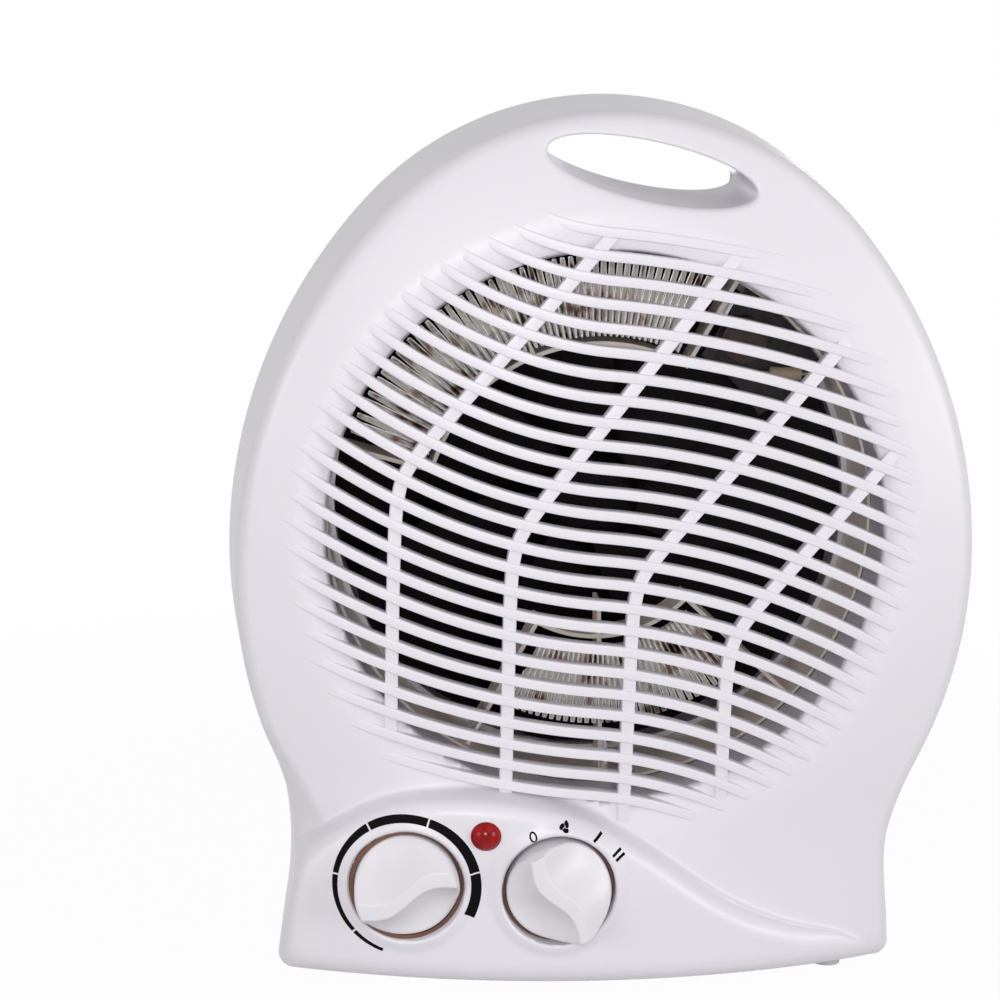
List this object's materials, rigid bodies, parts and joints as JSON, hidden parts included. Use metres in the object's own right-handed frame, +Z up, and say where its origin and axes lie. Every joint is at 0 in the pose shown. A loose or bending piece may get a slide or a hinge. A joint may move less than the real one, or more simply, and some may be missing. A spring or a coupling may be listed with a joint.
{
  "type": "upright fan heater",
  "caption": "Upright portable fan heater with a domed casing, carrying handle, swept slatted outlet grille, thermostat and heat selector knobs and a motor-driven fan.",
  "frame": {"origin": "centre of the bounding box, at the bottom of the feet", "axes": "+Z up, the grille and knobs face -Y, +X to the right of someone looking at the grille"},
  "size_m": [0.218, 0.126, 0.255],
  "materials": {
    "casing": "satin white moulded casing",
    "knob": "satin white",
    "lens": "clear red, glossy",
    "feet": "pale grey, matte",
    "screw": "zinc plated",
    "brass_part": "plain",
    "bush": "black, matte",
    "duct_steel": "bright sheet steel",
    "shaft_steel": "ground",
    "lamination": "stacked laminations, dull",
    "coil": "enamelled winding",
    "mica": "beige mica board",
    "heating_wire": "bright resistance wire",
    "cutout": "brown base",
    "fuse": "beige sleeve",
    "fan_plastic": "black",
    "spindle": "natural nylon",
    "switch_base": "dark moulded base",
    "lamp": "clear",
    "block": "natural nylon",
    "lead_brown": "brown sleeve",
    "lead_blue": "blue sleeve",
    "lead_white": "pale heat-proof sleeve"
  },
  "bodies": {
    "casing": {"front_shell": "casing", "front_grille": "casing", "rear_shell": "casing", "rear_grille": "casing", "indicator_lens": "lens", "rubber_feet": "feet", "shell_screws": "screw", "duct_screws": "screw", "mount_screws": "screw", "motor_screws": "screw", "plate_screws": "screw", "motor_nuts": "screw", "thermostat_nut": "brass_part", "selector_nut": "brass_part", "terminal_screws": "brass_part", "thermostat_bimetal": "brass_part", "cord_bush": "bush", "air_duct": "duct_steel", "motor_mount": "duct_steel", "control_plate": "duct_steel", "bracket_front": "duct_steel", "bracket_rear": "duct_steel", "element_terminals": "duct_steel", "bearing_front": "brass_part", "bearing_rear": "brass_part", "stator_stack": "lamination", "motor_coil": "coil", "mica_tube": "mica", "mica_frame_upper": "mica", "mica_frame_lower": "mica", "safety_bracket": "mica", "heater_wire_upper": "heating_wire", "heater_wire_lower": "heating_wire", "thermal_cutout": "cutout", "thermal_fuse": "fuse", "thermostat_body": "switch_base", "selector_switch": "switch_base", "indicator_lamp": "lamp", "terminal_block": "block", "lead_selector": "lead_brown", "lead_thermostat": "lead_blue", "lead_element": "lead_white", "lead_motor": "lead_white"},
    "thermostat_dial": {"thermostat_knob": "knob", "thermostat_spindle": "spindle"},
    "selector_dial": {"selector_knob": "knob", "selector_spindle": "spindle"},
    "fan": {"impeller": "fan_plastic", "motor_shaft": "shaft_steel", "motor_rotor": "shaft_steel"}
  },
  "joints": [
    {"name": "thermostat_turn", "type": "hinge", "parent": "casing", "child": "thermostat_dial", "pos_m": [-0.0553, -0.03303, 0.033], "axis": [0, -1, 0], "range_deg": [-42, 236]},
    {"name": "selector_turn", "type": "hinge", "parent": "casing", "child": "selector_dial", "pos_m": [-0.012, -0.03303, 0.033], "axis": [0, -1, 0], "range_deg": [-81, 0]},
    {"name": "fan_spin", "type": "hinge", "parent": "casing", "child": "fan", "pos_m": [-0.0015, 0.01197, 0.135], "axis": [0, -1, 0], "continuous": true}
  ]
}
